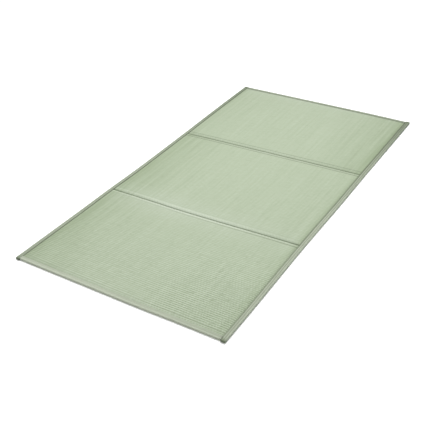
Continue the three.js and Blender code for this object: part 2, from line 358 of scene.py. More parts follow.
def read_table(table, place, value, at):
    """Smooth value of a table's column at places between its rows."""
    places = column(table, place)
    values = column(table, value)
    slopes = np.gradient(values, places)
    at = np.clip(at, places[0], places[-1])
    low = np.clip(np.searchsorted(places, at, side="right") - 1, 0, len(places) - 2)
    span = places[low + 1] - places[low]
    t = (at - places[low]) / span
    leaving = values[low] * (1 + 2 * t) + slopes[low] * span * t
    arriving = values[low + 1] * (3 - 2 * t) - slopes[low + 1] * span * (1 - t)
    return leaving * (1 - t) ** 2 + arriving * t**2


def edge_value(edge, value, inset):
    """Straight value of an edge table's column at a distance from the edge."""
    return np.interp(inset, column(edge, "inset"), column(edge, value))


def cross_line(line, x):
    return read_table(CROSS_LINES, "across", line, x / MAT_WIDTH + 0.5)


def side_out(side, y):
    return read_table(LONG_SIDES, "along", side, y / MAT_LENGTH + 0.5)


def uneven_x(x, y):
    """X of a point of the true rectangle once the long sides are as uneven as the table says."""
    share = x / MAT_WIDTH + 0.5
    return x - side_out("left", y) * (1 - share) + side_out("right", y) * share


def edge_table(line):
    if line == "near_end":
        return NEAR_EDGE
    return FOLD_EDGE if line.endswith("fold") else BOUND_EDGE


def edge_insets(edge):
    return column(edge, "inset")


def panel_columns():
    """X of the lengthwise lines of a panel: the bound sides' rows, and between them four to each float."""
    insets = edge_insets(BOUND_EDGE)
    side = MAT_WIDTH / 2
    float_count = round((MAT_WIDTH - 2 * insets[-1]) / FLOAT_PITCH)
    weave = np.linspace(insets[-1] - side, side - insets[-1], float_count * POINTS_PER_FLOAT + 1)
    return np.concatenate([insets[:-1] - side, weave, side - insets[-2::-1]])


def panel_rows(panel, x):
    """Y of the crosswise lines of a panel at each X, with the rib number that each line lies at."""
    from_insets = edge_insets(edge_table(panel["from"]))
    to_insets = edge_insets(edge_table(panel["to"]))
    first = cross_line(panel["from"], x) + from_insets[-1]
    last = cross_line(panel["to"], x) - to_insets[-1]
    rib_count = round(float(np.mean(last - first)) / RIB_PITCH)
    ribs = np.linspace(0, rib_count, rib_count * POINTS_PER_RIB + 1)
    weave = first + (last - first) * (ribs / rib_count)[:, None]
    before = cross_line(panel["from"], x) + from_insets[:-1, None]
    after = cross_line(panel["to"], x) - to_insets[-2::-1, None]
    ribs_before = (from_insets[:-1] - from_insets[-1]) / RIB_PITCH
    ribs_after = rib_count + (to_insets[-1] - to_insets[-2::-1]) / RIB_PITCH
    rib_at = np.concatenate([ribs_before, ribs, ribs_after])
    return np.concatenate([before, weave, after]), rib_at


def edge_distances(panel, x, y):
    """Distance of each grid point from the four edges of its panel, by the edge's name."""
    side = MAT_WIDTH / 2
    flat_x = np.broadcast_to(x, y.shape)
    return {
        "left": flat_x + side,
        "right": side - flat_x,
        panel["from"]: y - cross_line(panel["from"], x),
        panel["to"]: cross_line(panel["to"], x) - y,
    }


def edge_values(distances, value):
    """Value that each of a panel's edge tables gives for every grid point."""
    return {line: edge_value(edge_table(line), value, inset) for line, inset in distances.items()}


def weave_fullness(x, y):
    """How full the weave stands at each grid point."""
    near = smooth_step(FULLNESS_FROM["near"], FULLNESS_TO["near"], y)
    right = smooth_step(FULLNESS_FROM["right"], FULLNESS_TO["right"], x)
    return FULLNESS["plain"] + near * (FULLNESS["near"] + FULLNESS["near_right"] * right)


def across_value(values, x):
    """Value at each X, from those at the left, in the middle and at the right."""
    return np.interp(x, [-MAT_WIDTH / 2, 0, MAT_WIDTH / 2], values)


def margin_tone(x, woven):
    """Paleness of the unwoven margin, from whichever edge takes the weave away."""
    least = np.ones_like(woven["left"])
    margin = np.zeros_like(least)
    for line, share in woven.items():
        nearer = share < least
        margin = np.where(nearer, across_value(MARGIN_TONES[line], x), margin)
        least = np.where(nearer, share, least)
    return margin


def float_rise(x, rib_at, seed):
    """How high the stalks stand, from 0 in the gaps between ribs to 1 on top of a float."""
    rng = np.random.default_rng(seed)
    rib = np.floor(rib_at).astype(int)
    crest = np.sin(np.pi * (rib_at - rib)) ** RIB_ROUNDNESS
    bundle = x[None, :] / FLOAT_PITCH - FLOAT_STEP * rib_at[:, None]
    over = 0.5 - 0.5 * np.cos(2 * np.pi * bundle)
    uneven = UNEVEN_FLOATS * rng.standard_normal((np.ptp(rib) + 1, round(MAT_WIDTH / FLOAT_PITCH) + 2))
    cell = np.floor(bundle).astype(int) % uneven.shape[1]
    float_gain = 1 + uneven[rib[:, None], cell]
    bundle_gain = 1 + UNEVEN_BUNDLES * rng.standard_normal(len(x))
    rib_gain = 1 + UNEVEN_RIBS * rng.standard_normal(rib.max() + 1)
    rise = ((1 - FLOAT_SHARE) * crest[:, None] + FLOAT_SHARE * over) * float_gain
    return np.clip(rise * bundle_gain[None, :] * rib_gain[rib][:, None], 0, 1)


def smooth_step(low, high, value):
    t = np.clip((value - low) / (high - low), 0, 1)
    return t * t * (3 - 2 * t)


def kept_lines(count, edge_lines, stride):
    """Line numbers that the underside keeps: all those of the shaped edges, and a few between them."""
    first, last = edge_lines, count - 1 - edge_lines
    return sorted({*range(first), *range(first, last, stride), *range(last, count)})


def panel_mesh(panel):
    """Closed mesh of a woven panel, with its colour masks as point attributes."""
    x = panel_columns()
    y, rib_at = panel_rows(panel, x)
    distances = edge_distances(panel, x, y)
    top = np.min(list(edge_values(distances, "top").values()), axis=0)
    bottom = np.max(list(edge_values(distances, "bottom").values()), axis=0)
    woven = edge_values(distances, "weave")
    weave = np.min(list(woven.values()), axis=0)
    fullness = weave_fullness(x, y)
    rise = float_rise(x, rib_at, panel["seed"])
    hatch = 0.5 + 0.5 * np.cos(2 * np.pi * (x + HEM_HATCH_SLANT * y) / HEM_HATCH_PITCH)
    hems = {line: hem_share(line, inset) for line, inset in distances.items()}
    hatched = hatch * sum(hems[line] for line in hems if line in FOLD_DEPTHS)
    top = top - WEAVE_RELIEF * fullness * weave * (1 - rise) - HEM_HATCH * hatched

    plan_x = uneven_x(x, y)
    rows, columns = y.shape
    low_rows = kept_lines(rows, len(BOUND_EDGE), UNDERSIDE_STRIDE)
    low_columns = kept_lines(columns, len(BOUND_EDGE), UNDERSIDE_STRIDE)
    under = np.ix_(low_rows, low_columns)

    def both(upper, lower):
        return np.concatenate([upper.ravel(), lower[under].ravel()])

    points = np.stack([both(plan_x, plan_x), both(y, y), both(top, bottom)], axis=1)
    upper = np.arange(rows * columns).reshape(rows, columns)
    lower = rows * columns + np.arange(len(low_rows) * len(low_columns)).reshape(len(low_rows), -1)
    faces = grid_faces(upper) + [face[::-1] for face in grid_faces(lower)]
    faces += wall_faces(upper[0], lower[0], low_columns)
    faces += [face[::-1] for face in wall_faces(upper[-1], lower[-1], low_columns)]
    faces += [face[::-1] for face in wall_faces(upper[:, 0], lower[:, 0], low_rows)]
    faces += wall_faces(upper[:, -1], lower[:, -1], low_rows)

    mesh = new_mesh(panel["name"], points, faces)
    flat_x = np.broadcast_to(x, y.shape)
    set_lay(mesh, both(flat_x, flat_x), both(y, y))
    whole = np.ones_like(y)
    # Painted shade in the weave's gaps: the rise mask darkens the rush where the stalks stand low, on the
    # unwoven margins by their tone, and on the hems' hatch lines
    lift = FULL_LIFT * (fullness - FULLNESS["plain"])
    full_rise = np.clip(MEAN_RISE + lift + (rise - MEAN_RISE) * fullness, 0, 1)
    rise_mask = weave * full_rise + (1 - weave) * (margin_tone(x, woven) - HEM_HATCH_TONE * hatched)
    set_mask(mesh, "rise", both(rise_mask, whole))
    # Painted highlight on the hems and painted light over the open face beside some edges
    hem = sum(across_value(HEM_HIGHLIGHTS[line], x) * share for line, share in hems.items())
    hem = np.maximum(hem, edge_glow(x, distances))
    set_mask(mesh, "hem", both(hem, 0 * whole))
    # Painted shade towards the long sides
    set_mask(mesh, "shade", both(side_shade(panel["name"], distances), 0 * whole))
    # Painted shade in the fold bottoms, sewn lines and tape grooves
    set_mask(mesh, "seam_shade", both(seam_shade_share(panel["name"], x, distances), 0 * whole))
    return mesh


def hem_share(line, inset):
    """1 on the hem beside an edge, fading to 0 on the open face."""
    hem = FOLD_HEM if line in FOLD_DEPTHS else BOUND_HEM
    fading = 1 - smooth_step(hem["fading"], hem["gone"], inset)
    return smooth_step(hem["from"], hem["full"], inset) * fading


def edge_glow(x, distances):
    """Slight painted light, as paleness of the open face towards some edges."""
    glow = np.zeros_like(distances["left"])
    for line in GLOWS.keys() & distances.keys():
        fading = 1 - smooth_step(GLOW["fading"], GLOW["gone"], distances[line])
        glow = np.maximum(glow, across_value(GLOWS[line], x) * fading)
    return glow


def side_shade(name, distances):
    """How much painted shade darkens the rush towards the long sides: a narrow rim, and a broad shade on
    some sides.
    """
    nearest = np.minimum(distances["left"], distances["right"])
    rim = RIM_SHADE * (1 - smooth_step(TAPE_WIDTH, RIM_REACH, nearest))
    broad = sum(
        depth * (1 - np.clip(distances[side] / SIDE_SHADE_REACH, 0, 1)) ** 2
        for side, depth in SIDE_SHADES[name].items()
    )
    return np.clip(rim + broad, 0, 1)


def seam_shade_share(name, x, distances):
    """Painted shade in a panel's dark lines: the bottom of a fold, the sewn line beside it, the groove
    inside the tape.
    """
    lines = []
    for line, inset in distances.items():
        if line in FOLD_DEPTHS:
            folded = 1 - smooth_step(FOLD_LINE["full"], FOLD_LINE["gone"], inset)
            sewn = 1 - smooth_step(0, SEWN_LINE["reach"], np.abs(inset - SEWN_LINE["middle"]))
            lines.append(across_value(FOLD_DEPTHS[line], x) * folded)
            lines.append(across_value(SEWN_DEPTHS[name, line], x) * sewn)
        else:
            groove = 1 - smooth_step(GROOVE_LINE["full"], GROOVE_LINE["gone"], inset)
            lines.append(GROOVE_DEPTHS[name][line] * groove)
    return np.max(lines, axis=0)


def grid_faces(numbers):
    """Four-sided faces of a grid of point numbers, facing up where rows run along Y and columns along X."""
    quads = np.stack([numbers[:-1, :-1], numbers[:-1, 1:], numbers[1:, 1:], numbers[1:, :-1]], axis=-1)
    return quads.reshape(-1, 4).tolist()


def wall_faces(upper, lower, kept):
    """Upright faces between a fine upper edge and a lower edge that keeps only some of its points."""
    spans = zip(kept[:-1], kept[1:], range(len(kept) - 1))
    return [[lower[i], lower[i + 1], *upper[a : b + 1][::-1]] for a, b, i in spans]


def new_mesh(name, points, faces):
    mesh = bpy.data.meshes.new(name)
    mesh.from_pydata(points.tolist(), [], [[int(i) for i in face] for face in faces])
    mesh.update()
    mesh.shade_smooth()
    return mesh


def set_mask(mesh, name, values):
    mask = mesh.attributes.new(name, "FLOAT", "POINT")
    mask.data.foreach_set("value", np.ascontiguousarray(values, dtype=np.float32))


def set_lay(mesh, across, along):
    """Keeps how the cloth lies: metres across its width and along its length."""
    lay = mesh.attributes.new("lay", "FLOAT_VECTOR", "POINT")
    values = np.stack([across, along, np.zeros_like(across)], axis=1)
    lay.data.foreach_set("vector", np.ascontiguousarray(values, dtype=np.float32).ravel())


def add_piece(name, mesh, material, nodes=()):
    """A finished piece of the mat, riding on its one body."""
    piece = bpy.data.objects.new(name, mesh)
    bpy.context.collection.objects.link(piece)
    mesh.materials.append(material)
    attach(piece, "root")
    if nodes:
        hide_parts(*nodes)
    return piece


def long_side_place(side):
    """Plan position of a point of a long tape, from its Y and its distance in from the outer face."""
    inward = 1 if side == "left" else -1

    def place(y, inset):
        return -inward * (MAT_WIDTH / 2 + side_out(side, y)) + inward * inset, y

    return place


def short_end_place(line):
    """Plan position of a point of a short tape, from its X and its distance in from the outer face."""
    inward = 1 if line == "near_end" else -1

    def place(x, inset):
        return x, cross_line(line, x) + inward * inset

    return place


def tape_half(offset):
    """Upper half of the folded tape's section, from the middle of its outer face to its inner edge."""
    radius = TAPE_ROUND - offset
    turn = np.linspace(0, math.pi / 2, TAPE_ROUND_STEPS + 1)
    sunk = column(TAPE_LINES, "sunk") * (offset == 0)
    inset = np.concatenate([[offset], TAPE_ROUND - radius * np.cos(turn), edge_insets(TAPE_LINES)])
    arc_height = BOUND_HEIGHT - TAPE_ROUND + radius * np.sin(turn)
    height = np.concatenate([[BOUND_HEIGHT / 2], arc_height, BOUND_HEIGHT - offset - sunk])
    return inset, height


def tape_section():
    """Outer and inner lines of the whole section, from the upper inner edge round to the lower one."""
    lines = []
    for offset in (0.0, TAPE_THICKNESS):
        inset, height = tape_half(offset)
        under = BOUND_HEIGHT - height
        lines.append((np.concatenate([inset[:0:-1], inset]), np.concatenate([height[:0:-1], under])))
    return lines


def tape_mesh(side, place, stations, crease, closing, tone):
    """Cloth tape folded round an edge. Each station is a place along the edge: crease lowers the upper face
    there, closing, from 1 down to 0, draws the section together to a sewn-up end, and tone is its painted
    light and shade."""
    (outer_inset, outer_height), (inner_inset, inner_height) = tape_section()
    middle = BOUND_HEIGHT / 2
    across_middle = TAPE_WIDTH / 2
    narrowed = TAPE_END_WIDTH + (1 - TAPE_END_WIDTH) * closing[:, None]
    squeezed = TAPE_END_HEIGHT + (1 - TAPE_END_HEIGHT) * closing[:, None]
    upper_face = outer_height > middle
    rings = []
    sections = ((outer_inset, outer_height, 1), (inner_inset, inner_height, closing[:, None]))
    for inset, height, void in sections:
        lowered = height[None, :] - crease[:, None] * upper_face[None, :]
        ring_z = middle + (lowered - middle) * squeezed * void
        ring_inset = across_middle + (inset[None, :] - across_middle) * narrowed
        ring_x, ring_y = place(np.broadcast_to(stations[:, None], ring_inset.shape), ring_inset)
        rings.append(np.stack([ring_x, ring_y, ring_z], axis=-1))
    points = np.concatenate([rings[0], rings[1][:, ::-1]], axis=1)
    count, ring_size = points.shape[:2]
    numbers = np.arange(count * ring_size).reshape(count, ring_size)
    faces = grid_faces(np.concatenate([numbers, numbers[:, :1]], axis=1))
    half = ring_size // 2
    for ring, forward in ((numbers[0], True), (numbers[-1], False)):
        cap = [[ring[i], ring[i + 1], ring[-2 - i], ring[-1 - i]] for i in range(half - 1)]
        faces += cap if forward else [face[::-1] for face in cap]
    mesh = new_mesh(f"tape_{side}", points.reshape(-1, 3), faces)
    steps = np.hypot(np.diff(outer_inset), np.diff(outer_height))
    around = np.concatenate([[0], np.cumsum(steps)])
    ring_around = np.concatenate([around, around[::-1]])
    set_lay(mesh, np.tile(ring_around, count), np.repeat(stations, ring_size))
    # Painted shade in the tape's sunk lines
    sunk = edge_value(TAPE_LINES, "sunk", outer_inset)
    depth = np.concatenate([sunk, np.zeros(half)]) / column(TAPE_LINES, "sunk").max()
    line_depth = along_tape(TAPE_LINE_DEPTHS[side], stations)
    set_mask(mesh, "sunk", np.clip(line_depth[:, None] * depth[None, :], 0, 1).ravel())
    # Painted light on the tape's outer turn
    turn_lighting = TAPE_TURN_LIGHTING[side] * (1 - smooth_step(0, TAPE_TURN_REACH, outer_inset))
    ring_lighting = np.concatenate([turn_lighting, np.zeros(half)])
    set_mask(mesh, "tone", (tone[:, None] * (1 + ring_lighting[None, :])).ravel())
    weld_and_face_out(mesh)
    return mesh


def along_tape(values, stations):
    """Value along a tape, held from its first end and changing mostly towards the last."""
    share = (stations - stations[0]) / (stations[-1] - stations[0])
    first, last = values
    return first + (last - first) * share**3


def weld_and_face_out(mesh):
    """Joins points that lie together and turns every face outwards."""
    shell = bmesh.new()
    shell.from_mesh(mesh)
    bmesh.ops.remove_doubles(shell, verts=shell.verts, dist=WELD_DISTANCE)
    bmesh.ops.dissolve_degenerate(shell, edges=shell.edges, dist=WELD_DISTANCE)
    bmesh.ops.recalc_face_normals(shell, faces=shell.faces)
    shell.to_mesh(mesh)
    shell.free()


def long_tape_mesh(side):
    end = MAT_LENGTH / 2 + TAPE_OVERRUN
    edge_x = -MAT_WIDTH / 2 if side == "left" else MAT_WIDTH / 2
    folds = [float(cross_line(line, np.array(edge_x))) for line in ("near_fold", "far_fold")]
    ends = TAPE_END_LENGTH * np.linspace(0, 1, TAPE_END_STEPS) ** 2
    plain = np.arange(-end + 2 * TAPE_END_LENGTH, end - 2 * TAPE_END_LENGTH, TAPE_STEP)
    creases = [fold + CREASE_REACH * np.linspace(-1, 1, CREASE_STEPS) for fold in folds]
    clear = np.all([np.abs(plain - fold) > CREASE_REACH + CREASE_CLEARANCE for fold in folds], axis=0)
    stations = np.sort(np.concatenate([ends - end, plain[clear], *creases, end - ends]))
    nearest = np.min([np.abs(stations - fold) for fold in folds], axis=0)
    crease = CREASE_DEPTH * (1 - smooth_step(0, CREASE_REACH, nearest))
    from_end = end - np.abs(stations)
    closing = np.sqrt(1 - (1 - np.clip(from_end / TAPE_END_LENGTH, 0, 1)) ** 2)
    # Darker towards the sewn-up ends
    undarkened = smooth_step(TAPE_END_DARKENING["from"], TAPE_END_DARKENING["gone"], from_end)
    # Painted light and shade along the tape
    tone = along_tape(TAPE_LIGHTING[side], stations) * undarkened
    return tape_mesh(side, long_side_place(side), stations, crease, closing, tone)


def short_tape_span(line):
    """X of the two ends of a short tape, beside the long tapes."""
    y = -MAT_LENGTH / 2 if line == "near_end" else MAT_LENGTH / 2
    room = MAT_WIDTH / 2 - TAPE_WIDTH - TAPE_GAP
    return -room - float(side_out("left", np.array(y))), room + float(side_out("right", np.array(y)))


def short_tape_mesh(line):
    start, end = short_tape_span(line)
    stations = np.linspace(start, end, round((end - start) / TAPE_STEP) + 1)
    none = np.zeros_like(stations)
    name = line.split("_")[0]
    # Painted light and shade along the tape
    tone = along_tape(TAPE_LIGHTING[name], stations)
    return tape_mesh(name, short_end_place(line), stations, none, none + 1, tone)


def stitch_points():
    """One stitch along X about its middle: a thread that dives at both ends. Returns points and faces."""
    reach = column(STITCH_SHAPE, "reach")
    height = column(STITCH_SHAPE, "height") * THREAD_RADIUS
    girth = column(STITCH_SHAPE, "girth") * THREAD_RADIUS
    turn = np.linspace(0, 2 * np.pi, STITCH_SIDES, endpoint=False)
    around = np.stack([0 * turn, np.cos(turn), np.sin(turn)], axis=1)
    rings = girth[:, None, None] * around[None]
    rings[:, :, 0] += reach[:, None]
    rings[:, :, 2] += height[:, None]
    numbers = np.arange(len(reach) * STITCH_SIDES).reshape(len(reach), STITCH_SIDES)
    closed = np.concatenate([numbers, numbers[:, :1]], axis=1)
    faces = [face[::-1] for face in grid_faces(closed)]
    faces += [numbers[0][::-1].tolist(), numbers[-1].tolist()]
    return rings.reshape(-1, 3), faces


def stitch_row_mesh(name, runs):
    """Joined mesh of rows of stitches. A run gives stitch middles, directions in plan and stitch length."""
    one, one_faces = stitch_points()
    points = []
    for middles, directions, length in runs:
        stretched = one * np.array([length, 1, 1])
        forward = directions / np.linalg.norm(directions, axis=1, keepdims=True)
        sideways = np.stack([-forward[:, 1], forward[:, 0]], axis=1)
        spots = np.empty((len(middles), len(one), 3))
        spots[:, :, :2] = stretched[None, :, :1] * forward[:, None]
        spots[:, :, :2] += stretched[None, :, 1:2] * sideways[:, None]
        spots[:, :, 2] = stretched[None, :, 2]
        points.append((spots + middles[:, None]).reshape(-1, 3))
    points = np.concatenate(points)
    copies = len(points) // len(one)
    faces = [[i + copy * len(one) for i in face] for copy in range(copies) for face in one_faces]
    mesh = new_mesh(name, points, faces)
    lay = np.tile(one[:, 0], copies)
    set_lay(mesh, np.tile(one[:, 1], copies), lay * STITCH_LENGTH)
    return mesh


def tape_stitch_run(place, start, end, height):
    """Stitches along the sunk line near a tape's inner edge."""
    along = np.arange(start + STITCH_PITCH, end - STITCH_PITCH, STITCH_PITCH)
    x, y = place(along, np.full_like(along, TAPE_STITCH_INSET))
    ahead_x, ahead_y = place(along + MM, np.full_like(along, TAPE_STITCH_INSET))
    middles = np.stack([x, y, height(along)], axis=1)
    directions = np.stack([ahead_x - x, ahead_y - y], axis=1)
    return middles, directions, STITCH_LENGTH


def sewn_line_height(along):
    """Height of the thread in the tape's sunk line."""
    sunk = edge_value(TAPE_LINES, "sunk", TAPE_STITCH_INSET)
    return np.full_like(along, BOUND_HEIGHT - sunk + TAPE_THREAD_RISE)


def fold_stitch_run(line, inset):
    """Stitches in the dip beside a fold, from one long tape to the other."""
    room = MAT_WIDTH / 2 - TAPE_WIDTH - FOLD_STITCH_END_GAP
    along = np.arange(-room, room, FOLD_STITCH_PITCH)
    y = cross_line(line, along) + inset
    ahead = cross_line(line, along + MM) + inset
    height = edge_value(FOLD_EDGE, "top", abs(inset)) + FOLD_THREAD_RISE
    side_distance = MAT_WIDTH / 2 - np.abs(along)
    height = np.minimum(height, edge_value(BOUND_EDGE, "top", side_distance) + FOLD_THREAD_RISE)
    middles = np.stack([uneven_x(along, y), y, height], axis=1)
    directions = np.stack([np.full_like(along, MM), ahead - y], axis=1)
    return middles, directions, FOLD_STITCH_LENGTH


def add_node(tree, kind, inputs=(), **settings):
    """Adds a shader node; each input is a socket name or number with a value or another node's output."""
    node = tree.nodes.new(kind)
    for name, value in settings.items():
        setattr(node, name, value)
    for socket, value in dict(inputs).items():
        if isinstance(value, bpy.types.NodeSocket):
            tree.links.new(value, node.inputs[socket])
        else:
            node.inputs[socket].default_value = value
    return node


def new_group(name, inputs, outputs):
    """Empty shader node group with named sockets, and its two end nodes."""
    group = bpy.data.node_groups.new(name, "ShaderNodeTree")
    for socket, kind in inputs.items():
        group.interface.new_socket(socket, in_out="INPUT", socket_type=kind)
    for socket, kind in outputs.items():
        group.interface.new_socket(socket, in_out="OUTPUT", socket_type=kind)
    start = group.nodes.new("NodeGroupInput")
    end = group.nodes.new("NodeGroupOutput")
    return group, start, end


def fibre_streaks_group():
    """Uneven streaks along the lay of a fibre: a mask from 0 to 1, by a width and a length in metres."""
    group, start, end = new_group(
        "fibre_streaks",
        {"Lay": "NodeSocketVector", "Width": "NodeSocketFloat", "Length": "NodeSocketFloat"},
        {"Mask": "NodeSocketFloat"},
    )
    width, length = start.outputs["Width"], start.outputs["Length"]
    size = add_node(group, "ShaderNodeCombineXYZ", {"X": width, "Y": length})
    size.inputs["Z"].default_value = 1
    scaled = add_node(
        group, "ShaderNodeVectorMath", {0: start.outputs["Lay"], 1: size.outputs[0]}, operation="DIVIDE"
    )
    noise = add_node(group, "ShaderNodeTexNoise", {"Vector": scaled.outputs[0], "Scale": 1, "Detail": 2})
    low, high = STREAK_SPREAD
    spread = add_node(
        group, "ShaderNodeMapRange", {"Value": noise.outputs["Fac"], "From Min": low, "From Max": high}
    )
    group.links.new(spread.outputs[0], end.inputs["Mask"])
    return group


def round_ribs_group():
    """Round ribs side by side: height from 0 in the gaps to 1 on the crests, at a pitch in metres."""
    group, start, end = new_group(
        "round_ribs",
        {"Place": "NodeSocketFloat", "Pitch": "NodeSocketFloat"},
        {"Height": "NodeSocketFloat"},
    )
    count = add_node(
        group, "ShaderNodeMath", {0: start.outputs["Place"], 1: start.outputs["Pitch"]}, operation="DIVIDE"
    )
    turn = add_node(group, "ShaderNodeMath", {0: count.outputs[0], 1: math.pi}, operation="MULTIPLY")
    wave = add_node(group, "ShaderNodeMath", {0: turn.outputs[0]}, operation="SINE")
    crest = add_node(group, "ShaderNodeMath", {0: wave.outputs[0]}, operation="ABSOLUTE")
    rounded = add_node(group, "ShaderNodeMath", {0: crest.outputs[0], 1: RIB_ROUNDNESS}, operation="POWER")
    group.links.new(rounded.outputs[0], end.inputs["Height"])
    return group


def new_material(name):
    """Material with an empty tree but for its shader, and that shader."""
    material = bpy.data.materials.new(name)
    material.use_nodes = True
    shader = material.node_tree.nodes["Principled BSDF"]
    return material, material.node_tree, shader


def mask_of(tree, name):
    return add_node(tree, "ShaderNodeAttribute", attribute_name=name).outputs["Fac"]


def lay_of(tree):
    return add_node(tree, "ShaderNodeAttribute", attribute_name="lay").outputs["Vector"]


def streaks(tree, group, lay, width, length):
    node = add_node(tree, "ShaderNodeGroup", node_tree=group)
    tree.links.new(lay, node.inputs["Lay"])
    node.inputs["Width"].default_value = width
    node.inputs["Length"].default_value = length
    return node.outputs["Mask"]


def ribs(tree, group, place, pitch):
    node = add_node(tree, "ShaderNodeGroup", node_tree=group)
    tree.links.new(place, node.inputs["Place"])
    node.inputs["Pitch"].default_value = pitch
    return node.outputs["Height"]


def blend_colours(tree, share, first, second, mode="MIX"):
    """Colour between two others by a share; each is a colour or another node's output."""
    node = add_node(tree, "ShaderNodeMix", data_type="RGBA", blend_type=mode)
    sockets = (node.inputs["Factor"], node.inputs[6], node.inputs[7])
    for socket, value in zip(sockets, (share, first, second)):
        if isinstance(value, bpy.types.NodeSocket):
            tree.links.new(value, socket)
        else:
            socket.default_value = value
    return node.outputs[2]


def spread_value(tree, value, low, high):
    """A mask from 0 to 1 spread between two values."""
    node = add_node(tree, "ShaderNodeMapRange", {"Value": value, "To Min": low, "To Max": high})
    return node.outputs[0]


def sum_of(tree, first, second):
    return add_node(tree, "ShaderNodeMath", {0: first, 1: second}, operation="ADD").outputs[0]


def product_of(tree, first, second):
    return add_node(tree, "ShaderNodeMath", {0: first, 1: second}, operation="MULTIPLY").outputs[0]


def add_bump(tree, shader, height, distance, strength):
    bump = add_node(tree, "ShaderNodeBump", {"Height": height, "Distance": distance, "Strength": strength})
    tree.links.new(bump.outputs["Normal"], shader.inputs["Normal"])


def rush_material(streak_group, rib_group):
    """Dried green rush: stalks side by side, streaked along their length, with painted shade in the weave's
    gaps, in dark lines and towards the sides, and painted highlights on the hems.
    """
    material, tree, shader = new_material("woven_rush")
    lay = lay_of(tree)
    across = add_node(tree, "ShaderNodeSeparateXYZ", {0: lay}).outputs["X"]
    stalk_tone = streaks(tree, streak_group, lay, *RUSH_STREAKS["stalk"])
    bundle_tone = streaks(tree, streak_group, lay, *RUSH_STREAKS["bundle"])
    broad_tone = streaks(tree, streak_group, lay, *RUSH_STREAKS["broad"])
    stalk = ribs(tree, rib_group, across, STALK_PITCH)

    tints = RUSH_COLOURS
    colour = blend_colours(tree, stalk_tone, tints["dark_stalk"], tints["pale_stalk"])
    bundle_share = spread_value(tree, bundle_tone, 0.05, 0.65)
    paler = blend_colours(tree, bundle_share, colour, tints["pale_bundle"])
    broad_share = spread_value(tree, broad_tone, 0.0, 0.4)
    broad = blend_colours(tree, broad_share, paler, tints["dull_stretch"])
    # Painted highlight on the hems
    hem_highlight_mask = product_of(tree, mask_of(tree, "hem"), spread_value(tree, stalk_tone, 0.5, 0.9))
    hemmed = blend_colours(tree, hem_highlight_mask, broad, tints["hem"])
    # Painted shade towards the long sides
    shade_mask = product_of(tree, mask_of(tree, "shade"), spread_value(tree, bundle_tone, 1.25, 0.5))
    shaded = blend_colours(tree, shade_mask, hemmed, tints["shade"])
    # Painted shade in the weave's gaps
    gap_shade_share = spread_value(tree, mask_of(tree, "rise"), 0.95, 0.0)
    gaps = blend_colours(tree, gap_shade_share, shaded, tints["gap_shade"])
    # Painted shade in the dark lines
    seamed = blend_colours(tree, mask_of(tree, "seam_shade"), gaps, tints["seam_shade"])
    tree.links.new(seamed, shader.inputs["Base Color"])
    tree.links.new(spread_value(tree, stalk_tone, 0.62, 0.78), shader.inputs["Roughness"])
    shader.inputs["Specular IOR Level"].default_value = 0.3
    add_bump(tree, shader, stalk, *RELIEF["stalk"])
    return material


def binding_material(streak_group, rib_group):
    """Grey-green cotton tape with fine crosswise ribs, painted shade in its sunk lines, and painted light
    and shade that differ along and between the tapes.
    """
    material, tree, shader = new_material("binding_cloth")
    lay = lay_of(tree)
    parts = add_node(tree, "ShaderNodeSeparateXYZ", {0: lay})
    yarn_tone = streaks(tree, streak_group, lay, *TAPE_STREAKS["yarn"])
    worn_tone = streaks(tree, streak_group, lay, *TAPE_STREAKS["wear"])
    weft = ribs(tree, rib_group, parts.outputs["Y"], WEFT_PITCH)
    warp = ribs(tree, rib_group, parts.outputs["X"], WARP_PITCH)

    # Painted light and shade that differ from tape to tape and along each one
    tone = sum_of(tree, mask_of(tree, "tone"), spread_value(tree, yarn_tone, -0.12, 0.12))
    mottled = sum_of(tree, tone, spread_value(tree, worn_tone, -0.08, 0.08))
    colour = blend_colours(tree, mottled, TAPE_COLOURS["dark"], TAPE_COLOURS["pale"])
    # Painted shade in the sunk lines
    sunk_shade_share = spread_value(tree, mask_of(tree, "sunk"), 0.0, 0.9)
    lined = blend_colours(tree, sunk_shade_share, colour, TAPE_COLOURS["sunk_line_shade"])
    tree.links.new(lined, shader.inputs["Base Color"])
    tree.links.new(spread_value(tree, yarn_tone, 0.8, 0.95), shader.inputs["Roughness"])
    shader.inputs["Specular IOR Level"].default_value = 0.2
    shader.inputs["Sheen Weight"].default_value = 0.15
    add_bump(tree, shader, product_of(tree, weft, warp), *RELIEF["cloth"])
    return material


def thread_material(streak_group, rib_group):
    """Twisted sewing thread, a little paler than the tape."""
    material, tree, shader = new_material("sewing_thread")
    lay = lay_of(tree)
    along = add_node(tree, "ShaderNodeSeparateXYZ", {0: lay})
    tone = streaks(tree, streak_group, lay, *THREAD_STREAKS)
    slanted = sum_of(tree, along.outputs["X"], along.outputs["Y"])
    twist = ribs(tree, rib_group, slanted, TWIST_PITCH)
    colour = blend_colours(tree, tone, THREAD_COLOURS["dark"], THREAD_COLOURS["pale"])
    tree.links.new(colour, shader.inputs["Base Color"])
    tree.links.new(spread_value(tree, twist, 0.85, 0.65), shader.inputs["Roughness"])
    add_bump(tree, shader, twist, *RELIEF["thread"])
    return material


